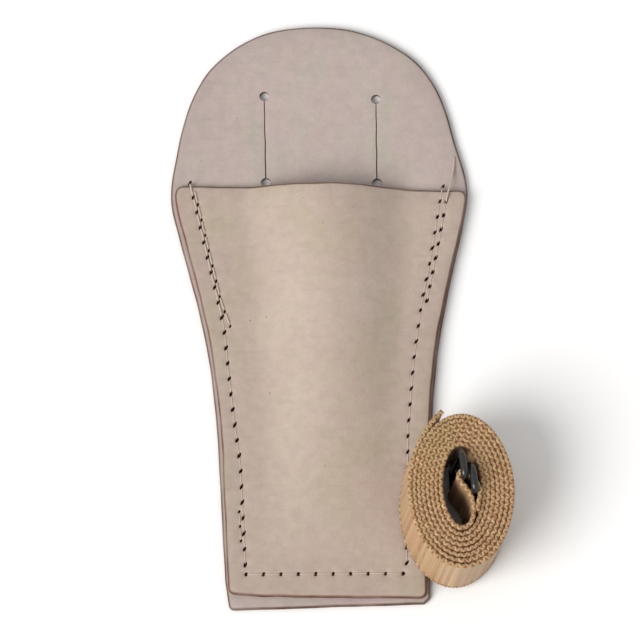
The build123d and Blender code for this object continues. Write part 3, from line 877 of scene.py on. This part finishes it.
def stitch(a, b, level, outwards, rise, entry):
    """One stitch from hole to hole, going down at a distance from each hole's middle."""
    run = (b - a) / np.linalg.norm(b - a)
    length = np.linalg.norm(b - a)
    shares = np.array([0.0, 0.015, 0.06, 0.13, 0.25, 0.5, 0.75, 0.87, 0.94, 0.985, 1.0])
    dip = BURY * 0.45
    lifts = np.array([-BURY, -dip, 0.0, 0.75, 1.0, 0.92, 1.0, 0.75, 0.0, -dip, -BURY])
    flat = a + run * (entry + (length - 2 * entry) * shares)[:, None]
    sideways = np.array([-run[1], run[0]]) * STITCH_SWAY * rng.uniform(-1, 1)
    flat = flat + sideways * np.sin(shares * math.pi)[:, None]
    heights = level(flat) + outwards * np.where(lifts > 0, lifts * rise, lifts)
    return curve_through(np.column_stack([flat[:, 0], flat[:, 1] - HALF_LENGTH, heights]), 0.22)


def build_seams(material):
    for side, rows in ROWS.items():
        fronts, backs = [], []
        for points, _ in rows:
            for a, b in zip(points, points[1:]):
                bold = side == "left" and b[1] > BOLD_ABOVE
                rise, radius = (BOLD_RISE, BOLD_RADIUS) if bold else (0.0, THREAD_RADIUS)
                entry = ROUND_ENTRY if side == "bottom" else SLANTED_ENTRY
                fronts.append(tube(stitch(a, b, front_upper, 1, rise, entry), radius))
                backs.append(tube(stitch(a, b, back_lower, -1, BACK_STITCH_RISE, entry),
                                  THREAD_RADIUS))
        for parts, kind in ((fronts, "needle_thread"), (backs, "bobbin_thread")):
            vertices, faces, marks = stack(parts)
            seam = make_piece(f"{kind}_{side}_twisted", vertices, faces, material, marks)
            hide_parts(f"{kind}_{side}")
            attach(seam, "sheath")


TAIL = [(57.1, 185.6, 4.0), (57.2, 186.3, 5.5), (58.0, 189.2, 6.0), (59.2, 193.4, 5.2),
        (60.0, 198.0, 3.9), (60.9, 203.0, 3.1), (61.0, 206.5, 3.0)]
TAIL_RADII = [0.46, 0.5, 0.22]


def build_tail(material):
    """The loose thread end that lies from the right seam over the mouth edge."""
    points = curve_through([(x, height - HALF_LENGTH, z) for x, height, z in TAIL], 0.25)
    radii = np.interp(np.arange(len(points)) / len(points), [0, 0.7, 1], TAIL_RADII)
    vertices, faces, marks = tube(points, radii)
    tail = make_piece("thread_tail_twisted", vertices, faces, material, marks)
    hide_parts("thread_tail")
    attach(tail, "sheath")


# ---- belt ----
def blend_pair(pair, share):
    return pair[0] + (pair[1] - pair[0]) * share


def spiral_point(turn):
    """Centre line of the rolled strap after this many turns, counted from its outer end."""
    share = turn / ROLL_TURNS
    angle = math.radians(ROLL_FIRST_ANGLE + 360 * turn)
    x = blend_pair(ROLL_CENTRE_X, share) + blend_pair(ROLL_A, share) * math.cos(angle)
    y = blend_pair(ROLL_CENTRE_Y, share) + blend_pair(ROLL_B, share) * math.sin(angle)
    lift = TIP_LIFT * max(0.0, 1 - turn / TIP_LIFT_TURN) ** 2
    return (x + lift * math.cos(angle), y + lift * math.sin(angle))


def fold_points():
    """Centre line of the inner end, round both ring bars and back on itself."""
    inner_bar, outer_bar = RING_BARS
    lean = math.degrees(math.atan2(inner_bar[1] - outer_bar[1], inner_bar[0] - outer_bar[0]))

    def round_bar(bar, turn):
        angle = math.radians(lean + turn)
        return (bar[0] + FOLD_RADIUS * math.cos(angle), bar[1] + FOLD_RADIUS * math.sin(angle))

    points = [spiral_point(ROLL_TURNS), *INNER_RUN, round_bar(outer_bar, 90)]
    points += [round_bar(inner_bar, turn) for turn in range(90, -91, -30)]
    points += [round_bar(outer_bar, turn) for turn in (-90, -112, -135)]
    return points + DOUBLED_END


HALF_THICK = 0.62
WEAVE_ALONG, WEAVE_ACROSS, WEAVE_DEPTH = 2.7, 2.1, 0.24
RIB_SHARE = 0.35                  # how much of the weave is ribs across, and not separate crowns
SELVAGE = 0.9                     # the braided edge takes this much of the half width
SPIRAL_POINTS = 5200
FINE_STEP, COARSE_STEP = 0.34, 1.35    # along the strap, where its faces show and where not
HIDDEN_DEPTH = 0.35               # share of the weave's depth that is kept where it is hidden
POINTS_ACROSS, YARN_SIDES = 84, 7
EDGE_ROUNDING, EDGE_THICKNESS, EDGE_OVERHANG = 0.7, 0.62, 0.35
BRAID_PITCH, BRAID_STEP = 3.0, 0.30
# the upper and lower yarn of each edge: sway, height, radius, how raised and how shaded it looks
BRAID_YARNS = ((0.56, 0.16, 0.66, 0.85, 0.0), (-0.56, -0.16, 0.64, 0.30, 0.22))


def strap_line():
    """The strap's centre line, the arc length and lift at its points, and the arc lengths at which
    the outermost turn ends and the innermost begins."""
    turns = np.linspace(0, ROLL_TURNS, SPIRAL_POINTS)
    spiral = np.array([spiral_point(turn) for turn in turns])
    fold = curve_through(fold_points(), 0.1)
    line = np.vstack([spiral, fold[1:]])
    reach = arc_lengths(line)
    rising = np.interp(turns, [ROLL_TURNS - 0.5, ROLL_TURNS], [0, 1])
    lift = np.concatenate([RING_LIFT * rising ** 2 * (3 - 2 * rising),
                           np.full(len(line) - len(spiral), RING_LIFT)])
    first_turn = np.interp(1.15, turns, reach[:len(turns)])
    last_turn = np.interp(ROLL_TURNS - 1.1, turns, reach[:len(turns)])
    return line, reach, lift, first_turn, last_turn


def at_reach(where, line, reach, lift):
    """Centre points, inward normals and lifts at these arc lengths."""
    middle, ahead, behind = (
        np.column_stack([np.interp(where + shift, reach, line[:, k]) for k in (0, 1)])
        for shift in (0, 0.15, -0.15))
    run = ahead - behind
    normal = np.column_stack([-run[:, 1], run[:, 0]]) / np.linalg.norm(run, axis=1)[:, None]
    return middle, normal, np.interp(where, reach, lift)


def in_roll(flat, up):
    """Model coordinates of points given in the roll's own plane and height."""
    return ROLL_ORIGIN + np.outer(flat[:, 0], ACROSS) + np.outer(flat[:, 1], ALONG) + np.outer(
        up, UPWARD)


def weave(along, across):
    """Yarn crowns of the plain webbing, 0 in the gaps to 1 on the crowns."""
    s, t = along * math.pi / WEAVE_ALONG, across * math.pi / WEAVE_ACROSS
    crowns = np.cos(s) ** 2 * np.cos(t) ** 2 + np.sin(s) ** 2 * np.sin(t) ** 2
    ribs = np.abs(np.cos(2 * s)) ** 0.7
    return RIB_SHARE * ribs + (1 - RIB_SHARE) * crowns


def build_strap(material):
    line, reach, lift, first_turn, last_turn = strap_line()
    total = reach[-1]
    stations = [0.0]
    while stations[-1] < total:
        here = stations[-1]
        shows = here < first_turn or here > last_turn
        stations.append(here + (FINE_STEP if shows else COARSE_STEP))
    stations = np.array(stations[:-1] + [total])
    middle, normal, rise = at_reach(stations, line, reach, lift)
    reach_across = WEB_WIDTH / 2 - SELVAGE
    across = np.linspace(-reach_across, reach_across, POINTS_ACROSS)
    rows, raised, edges = [], [], []
    face_ends = np.clip((reach_across - np.abs(across)) / EDGE_ROUNDING, 0, 1)
    taper = EDGE_THICKNESS + (1 - EDGE_THICKNESS) * np.sqrt(face_ends)
    fine = np.where((stations < first_turn) | (stations > last_turn), 1.0, HIDDEN_DEPTH)
    end_taper = np.clip(np.minimum(stations, total - stations) / 0.5, 0.25, 1)
    for side, shift in ((-1, 0.0), (1, WEAVE_ALONG / 2)):
        order = range(len(across)) if side < 0 else range(len(across) - 1, -1, -1)
        for k in order:
            crown = weave(stations + shift, across[k])
            depth = (HALF_THICK * taper[k] + WEAVE_DEPTH * crown * taper[k] * fine) * end_taper
            flat = middle + normal * (side * depth)[:, None]
            rows.append(in_roll(flat, WEB_WIDTH / 2 + rise + across[k]))
            raised.append(crown)
            # painted shade between the plies: the rounded ends of the faces take the gap colour
            edges.append(np.full(len(stations), 1.0 if taper[k] < 0.8 else 0.0))
        flat = middle + normal * (side * HALF_THICK * 0.4 * end_taper)[:, None]
        top = (reach_across + EDGE_OVERHANG) * (1 if side < 0 else -1)
        rows.append(in_roll(flat, WEB_WIDTH / 2 + rise + top))
        # the edge cap is all painted shade too
        raised.append(np.full(len(stations), 0.1))
        edges.append(np.ones(len(stations)))
    section = len(rows)
    vertices = np.stack(rows, axis=1).reshape(-1, 3)
    count = len(stations)
    faces = [(i * section + j, (i + 1) * section + j,
              (i + 1) * section + (j + 1) % section, i * section + (j + 1) % section)
             for i in range(count - 1) for j in range(section)]
    faces.append(tuple(range(section)))
    faces.append(tuple((count - 1) * section + j for j in range(section - 1, -1, -1)))
    marks = {"raised": np.stack(raised, 1).ravel(), "edge": np.stack(edges, 1).ravel(),
             "along": np.repeat(stations, section)}
    strap = make_piece("belt_strap", vertices, faces, material, marks)
    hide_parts("belt_webbing")
    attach(strap, "belt_roll")
    return strap, total


def build_braid(material):
    """The yarns that wind from face to face along both edges of the strap."""
    line, reach, lift, _, _ = strap_line()
    total = reach[-1]
    where = np.arange(BRAID_STEP, total - BRAID_STEP, BRAID_STEP)
    middle, normal, rise = at_reach(where, line, reach, lift)
    pace = where + 1.3 * np.sin(where / 31.0) + 0.5 * np.sin(where / 9.3)
    parts = []
    for edge in (1, -1):
        for sway, height, radius, raised, shade in BRAID_YARNS:
            phase = 2 * math.pi * pace / BRAID_PITCH
            uneven = 1 + 0.22 * np.sin(where / 5.3 + edge)
            flat = middle + normal * (sway * uneven * np.sin(phase))[:, None]
            out = WEB_WIDTH / 2 - 0.55 + height + 0.10 * np.cos(2 * phase)
            points = in_roll(flat, WEB_WIDTH / 2 + rise + edge * out)
            vertices, faces, marks = tube(points, radius, YARN_SIDES, twist_pitch=1.1, ridge=0.07)
            marks = {"raised": raised + 0.15 * marks["twist"],
                     "edge": np.full(len(vertices), shade), "along": np.repeat(where, YARN_SIDES)}
            parts.append((vertices, faces, marks))
    vertices, faces, marks = stack(parts)
    braid = make_piece("belt_selvage_yarns", vertices, faces, material, marks)
    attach(braid, "belt_roll")
    return braid


def build_loop_stitching(material):
    """Two rows of stitches that hold the strap's end doubled behind the rings."""
    left, right = LOOP_STITCH_FACES
    levels = (np.arange(LOOP_STITCH_HOLES) - (LOOP_STITCH_HOLES - 1) / 2) * LOOP_STITCH_PITCH
    parts = []
    for row in LOOP_STITCH_ROWS:
        for face, bow in ((left, -LOOP_STITCH_BOW), (right, LOOP_STITCH_BOW)):
            inward_bow = -bow * 2.4
            for low, high in zip(levels, levels[1:]):
                heights = np.array([low + 0.1, low + 0.15, low + 0.8, (low + high) / 2,
                                    high - 0.8, high - 0.15, high - 0.1])
                bows = np.array([inward_bow, 0.0, bow, bow * 1.15, bow, 0.0, inward_bow])
                flat = np.column_stack([face + bows, np.full(len(bows), row)])
                points = in_roll(flat, WEB_WIDTH / 2 + RING_LIFT + heights)
                parts.append(tube(curve_through(points, 0.2), LOOP_STITCH_RADIUS, YARN_SIDES,
                                  twist_pitch=0.9))
    vertices, faces, marks = stack(parts)
    stitching = make_piece("belt_loop_thread", vertices, faces, material, marks)
    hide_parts("belt_loop_stitching")
    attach(stitching, "belt_roll")
    return stitching


# ---- the scene ----
place_camera()
light_scene()
lay_floor()

back_leather = leather_look("back_leather", srgb(180, 167, 160), srgb(180, 162, 158),
                            srgb(172, 166, 152), srgb(88, 56, 42))
front_leather = leather_look("front_leather", srgb(181, 165, 152), srgb(178, 159, 148),
                             srgb(173, 160, 140), srgb(98, 56, 38))
seam_thread = thread_look("seam_thread", srgb(200, 185, 172), srgb(174, 156, 142))
belt_thread = thread_look("belt_thread", srgb(176, 146, 104), srgb(120, 92, 60))
# the third colour, for the gaps, is painted shade
webbing = webbing_look("webbing", srgb(200, 166, 122), srgb(160, 116, 78), srgb(104, 66, 38),
                       srgb(174, 152, 104))

build_sheath(back_leather, front_leather)
build_seams(seam_thread)
build_tail(seam_thread)
strap, strap_length = build_strap(webbing)
braid = build_braid(webbing)
loop_stitching = build_loop_stitching(belt_thread)
ring_coating = ring_look()
for name in ("d_ring_inner", "d_ring_outer"):
    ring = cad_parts[name]
    ring.data.materials.clear()
    ring.data.materials.append(ring_coating)
